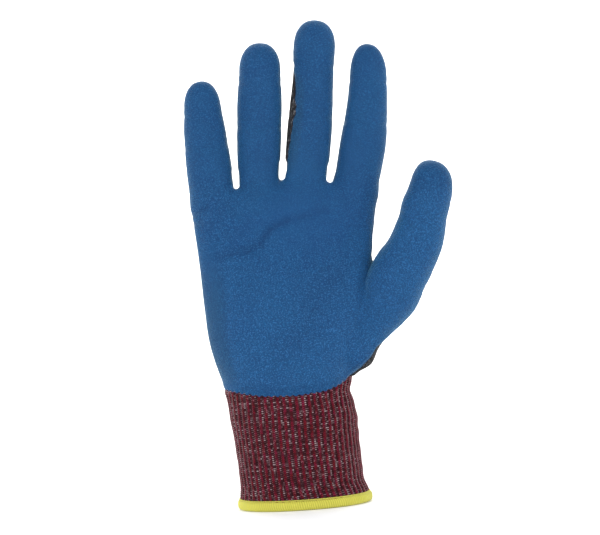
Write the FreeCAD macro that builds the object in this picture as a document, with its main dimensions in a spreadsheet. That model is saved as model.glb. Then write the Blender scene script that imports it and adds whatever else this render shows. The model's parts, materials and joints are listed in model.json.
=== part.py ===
import FreeCAD, Part
import math
import os

import Sketcher
from FreeCAD import Placement, Rotation, Vector

# A right-hand cut resistant work glove, size 9, as it stands on its cuff hem.
#
# Frame: millimetres. The origin is the middle of the hem's flat lower face, +Z runs up
# the hand to the fingertips, -Y is the palm side and +X is the thumb side.
#
# The liner is one seamless knit, dipped in latex on the palm side. It bends at the
# knuckles, so liner and coating are divided there: stiff stretches that lie along the
# bones, and short stretch sleeves over the hinges.

os.makedirs("parts", exist_ok=True)
doc = FreeCAD.newDocument("CutResistantGlove")
sheet = doc.addObject("Spreadsheet::Sheet", "Sizes")

FINGERS = ("little", "ring", "middle", "index")
HAND_SECTIONS = ("hand_heel", "hand_lower", "hand_centre", "hand_upper", "hand_top")
CUFF_SECTIONS = ("cuff_seat", "cuff_lower", "cuff_waist", "cuff_upper", "cuff_top")

# ---- driving dimensions -----------------------------------------------------------

WALLS = {
    "knit_wall": 1.2,
    "coat_wall": 0.8,
    "bond_gap": 0.1,
    "cuff_wall": 2.0,
    "seam_gap": 0.3,
    "overrun": 1.0,
    "depth_share": 0.9,
    "coat_lap": 2.0,
    "nail_lap": 9.0,
    "knuckle_line": 165.5,
}

# Length of a stretch sleeve on each side of its hinge, as a share of the finger's half
# depth: the tangent of half the hinge's travel, and a little more.
SLEEVE_SHARES = {
    "base_sleeve_share": 0.58,
    "centre_sleeve_share": 0.72,
    "tip_sleeve_share": 0.44,
}

# root_x, lean towards the thumb in degrees, length from the knuckle line to the tip,
# half width at the root and where the tip's dome starts, height of that dome, and the
# distances of the three hinges from the knuckle line
FINGER_SIZES = {
    "little": (-37.0, -2.1, 57.5, 11.5, 10.1, 11.5, 6.8, 23.5, 40.2),
    "ring": (-12.9, 4.7, 75.3, 11.3, 10.9, 11.5, 7.2, 31.5, 54.5),
    "middle": (11.3, 7.9, 85.5, 11.4, 10.7, 11.5, 7.4, 35.5, 61.5),
    "index": (37.6, 8.7, 71.5, 11.8, 9.9, 13.0, 7.2, 30.5, 52.0),
}
FINGER_FIELDS = (
    "root_x",
    "lean",
    "length",
    "root_wide",
    "tip_wide",
    "dome",
    "base_hinge",
    "centre_hinge",
    "tip_hinge",
)

# Points of the thumb's line: the heel of the hand, the base hinge, the tip hinge, the tip
THUMB_POINTS = {
    "thumb_heel": (14.0, 0.0, 67.0),
    "thumb_base_hinge": (58.5, -6.0, 119.0),
    "thumb_tip_hinge": (72.0, -9.0, 149.0),
    "thumb_end": (78.0, -10.0, 173.6),
}
THUMB_SIZES = {
    "thumb_ball_wide": 15.5,
    "thumb_root_wide": 14.6,
    "thumb_neck_wide": 12.3,
    "thumb_tip_wide": 11.5,
    "thumb_dome": 13.0,
    "thumb_base_sleeve": 4.6,
    "thumb_tip_sleeve": 5.6,
}

# Sections across the hand and the cuff: height, x of the middle, half width, half depth
SECTION_SIZES = {
    "hand_heel": (70.8, -1.3, 38.2, 20.5),
    "hand_lower": (85.0, -1.0, 42.0, 18.0),
    "hand_centre": (105.0, -0.8, 43.8, 16.6),
    "hand_upper": (135.0, -0.9, 45.3, 15.5),
    "hand_top": (163.6, -0.3, 48.8, 13.6),
    "cuff_seat": (1.2, 0.0, 33.0, 23.0),
    "cuff_lower": (6.0, 0.0, 33.0, 23.0),
    "cuff_waist": (20.0, -0.9, 32.2, 22.4),
    "cuff_upper": (40.0, -2.0, 32.4, 22.2),
    "cuff_top": (57.5, -4.2, 32.4, 22.3),
}
SECTION_FIELDS = ("height", "middle_x", "half_wide", "half_deep")

HEM_SIZES = {
    "hem_rise": 5.2,
    "hem_half_wide": 35.1,
    "hem_wall": 5.2,
    "hem_round": 1.5,
    "hem_play": 0.15,
    "yarn_play": 0.2,
    "yarn_thick": 0.6,
    "yarn_pitch": 4.8,
    "yarn_first": 9.0,
}
YARN_ROUNDS = 10

next_row = 1


def put(alias, value):
    """Write one plain number into the sheet and name its cell."""
    global next_row
    sheet.set(f"A{next_row}", alias.replace("_", " "))
    sheet.set(f"B{next_row}", str(value))
    sheet.setAlias(f"B{next_row}", alias)
    next_row += 1


def fill_sheet():
    for table in (WALLS, SLEEVE_SHARES, THUMB_SIZES, HEM_SIZES):
        for alias, value in table.items():
            put(alias, value)
    for finger, values in FINGER_SIZES.items():
        for field, value in zip(FINGER_FIELDS, values):
            put(f"{finger}_{field}", value)
    for section, values in SECTION_SIZES.items():
        for field, value in zip(SECTION_FIELDS, values):
            put(f"{section}_{field}", value)
    for point, values in THUMB_POINTS.items():
        for axis, value in zip("xyz", values):
            put(f"{point}_at_{axis}", value)
    doc.recompute()


def cell(alias):
    return float(sheet.get(alias))


fill_sheet()

# Offsets from the glove's outer skin, as expressions: the coating is outside the knit
KNIT_OUTSIDE = "-(Sizes.coat_wall + Sizes.bond_gap)"
KNIT_INSIDE = "-(Sizes.coat_wall + Sizes.bond_gap + Sizes.knit_wall)"
LAYERS = {
    "knit": (KNIT_OUTSIDE, KNIT_INSIDE),
    "coating": ("0", "-Sizes.coat_wall"),
    "sleeve": ("0", KNIT_INSIDE),
}

# ---- small builders ---------------------------------------------------------------


def add(kind, name, **properties):
    thing = doc.addObject(kind, name)
    for key, value in properties.items():
        setattr(thing, key, value)
    return thing


def bind(thing, **expressions):
    for key, expression in expressions.items():
        thing.setExpression(key.replace("__", "."), expression)
    return thing


def cut(name, base, tool):
    return add("Part::Cut", name, Base=base, Tool=tool)


def common(name, base, tool):
    return add("Part::Common", name, Base=base, Tool=tool)


def loft(name, sections):
    return add("Part::Loft", name, Sections=sections, Solid=True, Ruled=False)


def oval(name, height, half_width, grow):
    """An ellipse across the local Z axis, grown or shrunk by an offset."""
    ring = add("Part::Ellipse", name)
    return bind(
        ring,
        MajorRadius=f"({half_width}) + ({grow})",
        MinorRadius=f"({half_width}) * Sizes.depth_share + ({grow})",
        Placement__Base__z=height,
    )


def slot(name, section, grow="0", height=None):
    """A flat sketch with two straight sides and two round ends, centred on the section."""
    sketch = add("Sketcher::SketchObject", name)
    half_deep = cell(f"{section}_half_deep")
    reach = cell(f"{section}_half_wide") - half_deep
    quarter = math.pi / 2
    right, left = Vector(reach, 0, 0), Vector(-reach, 0, 0)
    up, across = Vector(0, 0, 1), Vector(0, half_deep, 0)
    sketch.addGeometry(Part.ArcOfCircle(Part.Circle(right, up, half_deep), -quarter, quarter))
    sketch.addGeometry(Part.LineSegment(right + across, left + across))
    sketch.addGeometry(Part.ArcOfCircle(Part.Circle(left, up, half_deep), quarter, 3 * quarter))
    sketch.addGeometry(Part.LineSegment(left - across, right - across))
    for edge in range(4):
        sketch.addConstraint(Sketcher.Constraint("Tangent", edge, 2, (edge + 1) % 4, 1))
    sketch.addConstraint(Sketcher.Constraint("Horizontal", 1))
    sketch.addConstraint(Sketcher.Constraint("PointOnObject", 0, 3, -1))
    sketch.addConstraint(Sketcher.Constraint("Symmetric", 0, 3, 2, 3, -1, 1))
    radius = sketch.addConstraint(Sketcher.Constraint("Radius", 0, half_deep))
    span = sketch.addConstraint(Sketcher.Constraint("DistanceX", 2, 3, 0, 3, 2 * reach))
    sketch.renameConstraint(radius, "round")
    sketch.renameConstraint(span, "span")
    wide, deep = f"Sizes.{section}_half_wide", f"Sizes.{section}_half_deep"
    return bind(
        sketch,
        Constraints__round=f"{deep} + ({grow})",
        Constraints__span=f"2 * ({wide} - {deep})",
        Placement__Base__x=f"Sizes.{section}_middle_x",
        Placement__Base__z=height or f"Sizes.{section}_height",
    )


def towards(start, end):
    """A placement at the start point whose local Z axis points at the end point."""
    return Placement(start, Rotation(Vector(0, 0, 1), end - start))


def finish(thing, label, placement=Placement()):
    thing.Placement = placement
    thing.Label = label
    pieces.append(thing)


pieces = []

# ---- fingers ----------------------------------------------------------------------


def finger_half_width(finger, height):
    """Half the finger's width at a height above the knuckle line: a straight taper."""
    root, tip = f"Sizes.{finger}_root_wide", f"Sizes.{finger}_tip_wide"
    run = f"(Sizes.{finger}_length - Sizes.{finger}_dome)"
    return f"{root} + ({tip} - {root}) * ({height}) / {run}"


def sleeve_reach(finger, hinge):
    """How far the stretch sleeve reaches on each side of its hinge."""
    half_width = finger_half_width(finger, f"Sizes.{finger}_{hinge}_hinge")
    return f"Sizes.{hinge}_sleeve_share * Sizes.depth_share * ({half_width})"


def frustum(name, start, end, widths, grow):
    """A tapered oval solid between two heights; widths gives the half width at a height."""
    lower = oval(f"{name}_lower", start, widths(start), grow)
    upper = oval(f"{name}_upper", end, widths(end), grow)
    return loft(f"{name}_taper", [lower, upper])


def tube(name, start, end, widths, layer):
    outside, inside = LAYERS[layer]
    longer_start, longer_end = f"{start} - Sizes.overrun", f"{end} + Sizes.overrun"
    outer = frustum(f"{name}_outside", start, end, widths, outside)
    inner = frustum(f"{name}_inside", longer_start, longer_end, widths, inside)
    return cut(name, outer, inner)


def domed(name, start, end, widths, dome, tip_wide, grow):
    """A tapered oval solid from the start height, closed by half an ellipsoid."""
    shoulder = f"({end}) - ({dome})"
    stem = frustum(name, start, shoulder, widths, grow)
    cap = bind(
        add("Part::Ellipsoid", f"{name}_dome", Angle1=0, Angle2=90),
        Radius1=f"{dome} + ({grow})",
        Radius2=f"{tip_wide} + ({grow})",
        Radius3=f"{tip_wide} * Sizes.depth_share + ({grow})",
        Placement__Base__z=shoulder,
    )
    return add("Part::Fuse", f"{name}_closed", Base=stem, Tool=cap)


def capped_tube(name, start, end, widths, dome, tip_wide, layer):
    outside, inside = LAYERS[layer]
    longer_start = f"{start} - Sizes.overrun"
    outer = domed(f"{name}_outside", start, end, widths, dome, tip_wide, outside)
    inner = domed(f"{name}_inside", longer_start, end, widths, dome, tip_wide, inside)
    return cut(name, outer, inner)


def back_block(name, top):
    """The space behind the coating's edge, which the coating is cut away from."""
    block = add("Part::Box", name, Length=60, Width=40)
    return bind(
        block,
        Height=f"{top} + 40",
        Placement__Base__x="-30",
        Placement__Base__y="Sizes.coat_lap",
        Placement__Base__z="-40",
    )


long_back = back_block("long_back", "200")


def finger_placement(finger):
    root = Vector(cell(f"{finger}_root_x"), 0, cell("knuckle_line"))
    return Placement(root, Rotation(Vector(0, 1, 0), cell(f"{finger}_lean")))


def build_finger(finger):
    place = finger_placement(finger)

    def widths(height):
        return finger_half_width(finger, height)

    gap = "Sizes.seam_gap"
    hinge = {name: f"Sizes.{finger}_{name}_hinge" for name in ("base", "centre", "tip")}
    below = {name: f"({hinge[name]} - {sleeve_reach(finger, name)})" for name in hinge}
    above = {name: f"({hinge[name]} + {sleeve_reach(finger, name)})" for name in hinge}

    for name in hinge:
        label = f"{finger}_{name}_knuckle_sleeve"
        finish(tube(label, below[name], above[name], widths, "sleeve"), label, place)

    for part, start, end in (("lower", "base", "centre"), ("centre", "centre", "tip")):
        lower, upper = f"{above[start]} + {gap}", f"{below[end]} - {gap}"
        knit = tube(f"{finger}_{part}_knit", lower, upper, widths, "knit")
        finish(knit, f"{finger}_{part}_knit", place)
        shell = tube(f"{finger}_{part}_shell", lower, upper, widths, "coating")
        coating = cut(f"{finger}_{part}_coating", shell, long_back)
        finish(coating, f"{finger}_{part}_coating", place)

    start, end = f"{above['tip']} + {gap}", f"Sizes.{finger}_length"
    shape = (widths, f"Sizes.{finger}_dome", f"Sizes.{finger}_tip_wide")
    knit = capped_tube(f"{finger}_tip_knit", start, end, *shape, "knit")
    finish(knit, f"{finger}_tip_knit", place)
    shell = capped_tube(f"{finger}_tip_shell", start, end, *shape, "coating")
    back = back_block(f"{finger}_nail_back", f"{end} - Sizes.nail_lap")
    finish(cut(f"{finger}_tip_coating", shell, back), f"{finger}_tip_coating", place)


# ---- thumb ------------------------------------------------------------------------


def thumb_point(name):
    return Vector(*(cell(f"{name}_at_{axis}") for axis in "xyz"))


def build_thumb():
    heel, base, neck, end = (thumb_point(name) for name in THUMB_POINTS)
    base_run, tip_run = str((neck - base).Length), str((end - neck).Length)
    ball, root = "Sizes.thumb_ball_wide", "Sizes.thumb_root_wide"
    narrow, tip_wide = "Sizes.thumb_neck_wide", "Sizes.thumb_tip_wide"
    base_reach, tip_reach = "Sizes.thumb_base_sleeve", "Sizes.thumb_tip_sleeve"
    gap = "Sizes.seam_gap"

    def base_widths(height):
        return f"{root} + ({narrow} - {root}) * ({height}) / {base_run}"

    def tip_widths(height):
        return f"{narrow} + ({tip_wide} - {narrow}) * ({height}) / ({tip_run} - Sizes.thumb_dome)"

    def bent_sleeve(label, before, hinge, after, reach, wide_before, wide_after):
        """A short tube that turns from one straight run to the next at its hinge."""
        middle = f"(({wide_before}) + ({wide_after})) / 2"
        back_way, fore_way = (hinge - before).normalize(), (after - hinge).normalize()
        length = cell(reach)
        stations = (
            (hinge - back_way * length, back_way, wide_before),
            (hinge, back_way + fore_way, middle),
            (hinge + fore_way * length, fore_way, wide_after),
        )
        sides = []
        for side, grow in zip(("outside", "inside"), LAYERS["sleeve"]):
            rings = []
            for number, (point, way, half_width) in enumerate(stations):
                ring = add("Part::Ellipse", f"{label}_{side}_{number}")
                bind(
                    ring,
                    MajorRadius=f"({half_width}) + ({grow})",
                    MinorRadius=f"({half_width}) * Sizes.depth_share + ({grow})",
                )
                ring.Placement = towards(point, point + way)
                rings.append(ring)
            sides.append(loft(f"{label}_{side}", rings))
        finish(cut(label, *sides), label)

    bent_sleeve(
        "thumb_base_knuckle_sleeve", heel, base, neck, "thumb_base_sleeve", ball, root
    )
    bent_sleeve(
        "thumb_tip_knuckle_sleeve", base, neck, end, "thumb_tip_sleeve", narrow, narrow
    )

    lower, upper = f"{base_reach} + {gap}", f"{base_run} - {tip_reach} - {gap}"
    place = towards(base, neck)
    knit = tube("thumb_base_knit", lower, upper, base_widths, "knit")
    finish(knit, "thumb_base_knit", place)
    shell = tube("thumb_base_shell", lower, upper, base_widths, "coating")
    finish(cut("thumb_base_coating", shell, long_back), "thumb_base_coating", place)

    place = towards(neck, end)
    lower = f"{tip_reach} + {gap}"
    shape = (tip_widths, "Sizes.thumb_dome", tip_wide)
    knit = capped_tube("thumb_tip_knit", lower, tip_run, *shape, "knit")
    finish(knit, "thumb_tip_knit", place)
    shell = capped_tube("thumb_tip_shell", lower, tip_run, *shape, "coating")
    back = back_block("thumb_nail_back", f"{tip_run} - Sizes.nail_lap")
    finish(cut("thumb_tip_coating", shell, back), "thumb_tip_coating", place)


# ---- hand -------------------------------------------------------------------------


def hand_form(name, grow, ball_end=None):
    """The palm with the ball of the thumb, as one solid, grown or shrunk by an offset.

    It reaches past both ends of the palm, so that every offset has the same stations."""
    heights = {section: f"Sizes.{section}_height" for section in HAND_SECTIONS}
    heights["hand_heel"] += " - Sizes.overrun"
    heights["hand_top"] += " + Sizes.overrun"
    sections = [
        slot(f"{name}_{section}", section, grow, heights[section]) for section in HAND_SECTIONS
    ]
    palm = loft(f"{name}_palm", sections)
    heel, base = thumb_point("thumb_heel"), thumb_point("thumb_base_hinge")
    run = f"{(base - heel).Length} - Sizes.thumb_base_sleeve - Sizes.seam_gap"

    def widths(height):
        return "Sizes.thumb_ball_wide"

    ball = frustum(f"{name}_ball", "0", ball_end or run, widths, grow)
    ball.Placement = towards(heel, base)
    return add("Part::Fuse", name, Base=palm, Tool=ball)


def finger_bore(finger):
    """The hole that a finger leaves in the top of the palm's knit."""

    def widths(height):
        return finger_half_width(finger, height)

    bore = frustum(f"{finger}_bore", "-8", "4", widths, KNIT_INSIDE)
    bore.Placement = finger_placement(finger)
    return bore


def room(name, floor, top, back_y="60"):
    """The space between two heights around the palm, as far back as a plane."""
    block = add("Part::Box", name, Length=180)
    return bind(
        block,
        Width=f"60 + {back_y}",
        Height=f"{top} - {floor}",
        Placement__Base__x="-80",
        Placement__Base__y="-60",
        Placement__Base__z=floor,
    )


def build_hand():
    past_the_thumb = "100"
    floor, top = "Sizes.hand_heel_height", "Sizes.hand_top_height"
    outer = hand_form("hand_outside", KNIT_OUTSIDE)
    inner = hand_form("hand_inside", KNIT_INSIDE, past_the_thumb)
    under_roof = room("under_roof", "0", f"{top} - Sizes.knit_wall")
    bores = [finger_bore(finger) for finger in FINGERS]
    hollow = add("Part::MultiFuse", "hand_hollow", Shapes=[common("roofed", inner, under_roof), *bores])
    walls = cut("hand_walls", outer, hollow)
    finish(common("palm_knit", walls, room("whole_hand", floor, top)), "palm_knit")

    skin_outside, skin_inside = LAYERS["coating"]
    skin = hand_form("skin_outside", skin_outside)
    under = hand_form("skin_inside", skin_inside, past_the_thumb)
    shell = cut("skin_shell", skin, under)
    front = room("palm_side", floor, top, "Sizes.coat_lap")
    finish(common("palm_coating", shell, front), "palm_coating")


# ---- cuff and hem -----------------------------------------------------------------


def ring_between(name, sections, outside, inside, heights=(None, None)):
    """A closed band between its first and last section, with walls from two offsets."""
    sides = []
    for side, grow in (("outside", outside), ("inside", inside)):
        slots = []
        for number, section in enumerate(sections):
            height = heights[0] if number == 0 else None
            height = heights[1] if number == len(sections) - 1 else height
            if side == "inside" and number in (0, len(sections) - 1):
                sign = "-" if number == 0 else "+"
                height = f"({height or f'Sizes.{section}_height'}) {sign} Sizes.overrun"
            slots.append(slot(f"{name}_{side}_{number}", section, grow, height))
        sides.append(loft(f"{name}_{side}", slots))
    return cut(name, *sides)


def build_wrist():
    heights = ("Sizes.cuff_top_height + Sizes.seam_gap", "Sizes.hand_heel_height - Sizes.seam_gap")
    sleeve = ring_between(
        "wrist_knit_sleeve", ("cuff_top", "hand_heel"), "0", "-Sizes.cuff_wall", heights
    )
    finish(sleeve, "wrist_knit_sleeve")


def build_cuff():
    cuff = ring_between("cuff_rib_knit", CUFF_SECTIONS, "0", "-Sizes.cuff_wall")
    finish(cuff, "cuff_rib_knit")


def build_elastic():
    """Elastic yarn laid into the inside of the ribs, drawn as closed rounds."""
    outside = "-Sizes.cuff_wall - Sizes.yarn_play"
    inside = "-Sizes.cuff_wall - Sizes.yarn_play - Sizes.yarn_thick"
    sheath = ring_between("yarn_sheath", CUFF_SECTIONS, outside, inside)
    levels = []
    for number in range(YARN_ROUNDS):
        level = add("Part::Box", f"yarn_level_{number}", Length=100, Width=80)
        bind(
            level,
            Height="Sizes.yarn_thick",
            Placement__Base__x="-50",
            Placement__Base__y="-40",
            Placement__Base__z=f"Sizes.yarn_first + {number} * Sizes.yarn_pitch",
        )
        levels.append(level)
    every_level = add("Part::Compound", "yarn_levels", Links=levels)
    finish(common("cuff_elastic_yarns", sheath, every_level), "cuff_elastic_yarns")


def build_hem():
    """The overlocked edge: a rounded band around the cuff's lower end, which sits in it."""
    grow = "Sizes.hem_half_wide - Sizes.cuff_seat_half_wide"
    base = slot("hem_base", "cuff_seat", grow, "0")
    lid = slot("hem_lid", "cuff_seat", grow, "Sizes.hem_rise")
    block = loft("hem_block", [base, lid])
    doc.recompute()
    level = [0.0, cell("hem_rise")]
    rims = []
    for number, edge in enumerate(block.Shape.Edges, start=1):
        box = edge.BoundBox
        if box.ZLength < 0.01 and min(abs(box.ZMin - value) for value in level) < 0.01:
            rims.append((number, cell("hem_round"), cell("hem_round")))
    rounded = add("Part::Fillet", "hem_rounded", Base=block, Edges=rims)
    hole_low = slot("hem_hole_low", "cuff_seat", f"{grow} - Sizes.hem_wall", "-Sizes.overrun")
    hole_high = slot("hem_hole_high", "cuff_seat", f"{grow} - Sizes.hem_wall", "10")
    band = cut("hem_band", rounded, loft("hem_hole", [hole_low, hole_high]))
    seat = ring_between(
        "hem_seat",
        ("cuff_seat", "cuff_lower"),
        "Sizes.hem_play",
        "-Sizes.cuff_wall - Sizes.hem_play",
        ("Sizes.cuff_seat_height - Sizes.hem_play", "Sizes.cuff_lower_height + Sizes.overrun"),
    )
    finish(cut("hem_overlock_band", band, seat), "hem_overlock_band")


def build_needle_thread():
    """The overlock's needle thread, one line around the cuff just above the hem."""
    outside = "Sizes.hem_play + Sizes.yarn_thick"
    heights = ("Sizes.hem_rise + 0.2", "Sizes.hem_rise + 0.2 + Sizes.yarn_thick")
    thread = ring_between(
        "hem_needle_thread", ("cuff_lower", "cuff_lower"), outside, "Sizes.hem_play", heights
    )
    finish(thread, "hem_needle_thread")


build_cuff()
build_elastic()
build_hem()
build_needle_thread()
build_wrist()
build_hand()
for finger in FINGERS:
    build_finger(finger)
build_thumb()

doc.recompute()

for thing in doc.Objects:
    if "Invalid" in thing.State or "Error" in thing.State:
        raise RuntimeError(f"{thing.Label} failed: {thing.State}")

for piece in pieces:
    shape = piece.Shape
    if shape.isNull() or not shape.isValid():
        raise RuntimeError(f"{piece.Label} has no sound shape")
    shape.exportStep(f"parts/{piece.Label}.step")
    print(f"{piece.Label}: {len(shape.Solids)} solid(s), {shape.Volume:.0f} cubic millimetres")
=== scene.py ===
import json
import math

import bpy
import numpy as np
import openvdb
from mathutils import Matrix, Vector, noise


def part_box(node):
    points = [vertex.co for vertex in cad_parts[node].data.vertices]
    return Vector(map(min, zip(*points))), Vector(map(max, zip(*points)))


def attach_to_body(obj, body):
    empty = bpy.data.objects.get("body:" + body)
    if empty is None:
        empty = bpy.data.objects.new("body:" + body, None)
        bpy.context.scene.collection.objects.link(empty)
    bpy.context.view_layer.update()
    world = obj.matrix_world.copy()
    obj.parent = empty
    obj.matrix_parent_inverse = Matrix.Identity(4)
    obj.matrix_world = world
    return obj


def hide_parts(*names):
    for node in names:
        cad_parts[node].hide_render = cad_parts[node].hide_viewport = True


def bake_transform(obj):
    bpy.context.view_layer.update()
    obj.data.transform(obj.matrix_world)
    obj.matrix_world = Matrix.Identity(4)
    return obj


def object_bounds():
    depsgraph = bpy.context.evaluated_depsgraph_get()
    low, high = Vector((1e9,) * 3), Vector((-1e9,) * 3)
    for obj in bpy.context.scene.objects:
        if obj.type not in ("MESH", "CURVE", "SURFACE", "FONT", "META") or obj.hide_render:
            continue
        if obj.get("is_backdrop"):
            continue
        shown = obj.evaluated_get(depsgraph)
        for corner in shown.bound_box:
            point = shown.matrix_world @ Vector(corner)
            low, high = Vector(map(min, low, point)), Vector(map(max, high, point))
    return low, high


# A right-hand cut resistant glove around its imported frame. The shapes are worked out in
# millimetres and turned into metres where a mesh is made: +Z runs up the hand, -Y is the
# palm side and +X is the thumb side.

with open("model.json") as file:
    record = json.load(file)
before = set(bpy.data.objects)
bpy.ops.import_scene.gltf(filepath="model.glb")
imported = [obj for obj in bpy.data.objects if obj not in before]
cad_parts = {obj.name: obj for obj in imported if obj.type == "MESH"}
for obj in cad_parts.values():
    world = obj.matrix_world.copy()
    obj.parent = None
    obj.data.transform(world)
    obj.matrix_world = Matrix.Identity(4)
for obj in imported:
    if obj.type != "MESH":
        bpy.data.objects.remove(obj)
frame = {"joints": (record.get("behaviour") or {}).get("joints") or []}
cad_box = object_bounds()

MM = 0.001
FINGERS = ("little", "ring", "middle", "index")
JOINTS = {joint["name"]: joint for joint in frame["joints"]}


def hinge(name):
    """A joint's place in millimetres."""
    return np.array(JOINTS[f"{name}_knuckle"]["pos_m"]) / MM


def unit(vector):
    """A vector made one unit long."""
    return vector / np.linalg.norm(vector)


def unit_rows(vectors):
    """Each row of a table of vectors, made one unit long."""
    return vectors / np.maximum(np.linalg.norm(vectors, axis=1), 1e-9)[:, None]


def turned(x, z, middle_x, middle_z, degrees):
    """Distances across and along a line that leans from upright, from a point on it."""
    turn = math.radians(degrees)
    across = (x - middle_x) * math.cos(turn) - (z - middle_z) * math.sin(turn)
    along = (x - middle_x) * math.sin(turn) + (z - middle_z) * math.cos(turn)
    return across, along


def squarish(value, power):
    """A sine or cosine bent so that it draws an oval with fuller or flatter corners."""
    return np.sign(value) * np.abs(value) ** power


def smooth_step(low, high, value):
    """0 at the low value and 1 at the high one, with soft ends."""
    share = np.clip((value - low) / (high - low), 0, 1)
    return share * share * (3 - 2 * share)


def smooth_min(first, second, reach):
    """The smaller of two distances, rounded over where they differ by less than the reach."""
    overlap = np.maximum(reach - np.abs(first - second), 0) / reach
    return np.minimum(first, second) - overlap * overlap * reach / 4


def smooth_max(first, second, reach):
    """The larger of two distances, rounded over in the same way."""
    return -smooth_min(-first, -second, reach)


def curve_through(stations, values):
    """A smooth function through a few values (cubic, with slopes from the neighbours)."""
    stations, values = np.array(stations, float), np.array(values, float)
    slopes = np.gradient(values, stations)

    def value_at(place):
        place = np.clip(place, stations[0], stations[-1])
        index = np.clip(np.searchsorted(stations, place) - 1, 0, len(stations) - 2)
        width = stations[index + 1] - stations[index]
        share = (place - stations[index]) / width
        square, cube = share * share, share * share * share
        return (
            (2 * cube - 3 * square + 1) * values[index]
            + (cube - 2 * square + share) * width * slopes[index]
            + (3 * square - 2 * cube) * values[index + 1]
            + (cube - square) * width * slopes[index + 1]
        )

    return value_at


def oval_distance(offsets, radii, power):
    """Roughly how far a point is outside an oval, from its offsets and the oval's radii."""
    shares = [np.abs(offset) / radius + 1e-9 for offset, radius in zip(offsets, radii)]
    total = sum(share**power for share in shares)
    size = total ** (1 / power)
    steepness = sum(
        ((share / size) ** (power - 1) / radius) ** 2 for share, radius in zip(shares, radii)
    )
    return (size - 1) / np.sqrt(steepness)


# ---- the hand's form --------------------------------------------------------------

# A limb's depth as a share of its width, and how square its section is (2 is an ellipse)
FLESH_DEPTH = 0.88
OVAL_POWER = 2.25

# The form is the knit's outside; the widths below are measured over the coating
COAT_THICK = 0.7


class Limb:
    """A finger, a stretch of the thumb or the ball of the thumb: an oval rod with a taper."""

    def __init__(self, start, end, widths, dome=None, bow=0.0, curl=0.0):
        self.start = np.array(start, float)
        reach = np.array(end, float) - self.start
        self.axis, self.length = unit(reach), np.linalg.norm(reach)
        self.side = unit(np.cross((0, 1, 0), self.axis))
        self.back = np.cross(self.axis, self.side)
        self.half_width = curve_through(*widths)
        self.dome, self.bow, self.curl = dome, bow, curl

    def local(self, points):
        """Distance along the axis, to the thumb side and to the back, for each point."""
        away = points - self.start
        along = away @ self.axis
        share = np.clip(along / self.length, 0, 1)
        across = away @ self.side - self.bow * 4 * share * (1 - share)
        behind = away @ self.back + self.curl * share * share
        return along, across, behind

    def distance(self, points):
        """Roughly how far each point is outside the limb."""
        along, across, behind = self.local(points)
        half_width = self.half_width(along)
        dome = self.dome or half_width
        over = np.maximum(along - (self.length - (self.dome or 0)), 0)
        under = np.maximum(-along, 0)
        return oval_distance(
            (across, behind, over, under),
            (half_width, half_width * FLESH_DEPTH, dome, half_width),
            OVAL_POWER,
        )


# Distances above each finger's root, and its half width at each
FINGER_WIDTHS = {
    "little": ((-30, 6, 20, 32, 40, 58), (10.5, 11.9, 11.5, 10.8, 10.0, 10.0)),
    "ring": ((-30, 3, 18, 31, 46, 60, 76), (10.0, 10.6, 11.3, 11.6, 11.5, 10.8, 10.8)),
    "middle": ((-30, 5, 16, 38, 50, 72, 86), (11.2, 11.7, 11.9, 11.7, 11.0, 10.8, 10.8)),
    "index": ((-30, 8, 20, 30, 39, 52, 72), (11.2, 11.8, 11.9, 11.3, 10.5, 9.8, 9.8)),
}
# Height of each tip's dome, how far the finger bows towards the thumb, and how far it lies
# to that side of its hinges
FINGER_SHAPES = {
    "little": (17.0, -0.6, 0.3),
    "ring": (15.0, 0.0, 0.2),
    "middle": (14.0, 0.4, -0.1),
    "index": (19.0, 2.3, 0.6),
}
ROOT_TO_HINGE = 7.0
TIP_WRINKLE = 0.5
FINGER_CURL = 4.0

# Where the ball of the thumb starts, and the widths of the thumb's three stretches
THUMB_HEEL = (14.0, 0.0, 67.0)
THUMB_BALL = (
    (0, 12, 19, 28, 37, 46, 56, 62, 69),
    (13.5, 12.6, 14.4, 12.0, 11.8, 13.8, 15.6, 15.4, 14.5),
)
THUMB_BASE = ((0, 8, 19, 29, 33), (14.4, 13.9, 13.25, 12.2, 11.8))
THUMB_TIP = ((0, 8, 12, 25), (11.8, 11.5, 11.1, 11.0))
THUMB_DOME = 15.0
THUMB_TIP_WAY = np.array((6.0, -1.0, 24.6))
THUMB_TIP_LENGTH = 24.8

# Sections across the hand and wrist: height, x of the middle, half width, half depth
SECTIONS = np.array(
    (
        (0, 0.2, 33.6, 23.2),
        (6, 0.1, 33.2, 23.0),
        (11, -0.6, 32.0, 22.4),
        (20, -1.0, 32.1, 22.2),
        (30, -1.5, 32.1, 22.1),
        (38, -1.9, 32.5, 22.0),
        (46, -2.6, 32.8, 21.9),
        (52, -3.5, 32.4, 21.7),
        (58, -4.7, 32.0, 21.4),
        (62, -4.9, 32.7, 21.1),
        (66, -4.7, 33.4, 20.5),
        (74, -4.4, 36.0, 19.0),
        (86, -3.4, 39.8, 16.8),
        (105, -1.4, 43.4, 15.2),
        (125, -0.9, 44.9, 14.6),
        (145, -0.6, 46.6, 13.6),
        (160, 0.1, 48.5, 11.6),
        (175, 0.3, 49.5, 9.6),
    )
)
palm_middle, palm_half_width, palm_half_depth = (
    curve_through(SECTIONS[:, 0], SECTIONS[:, column]) for column in (1, 2, 3)
)
PALM_TOP = 168.0
PALM_ROUND = 14.0
WRIST_POWER, PALM_POWER = 2.15, 2.7

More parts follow.
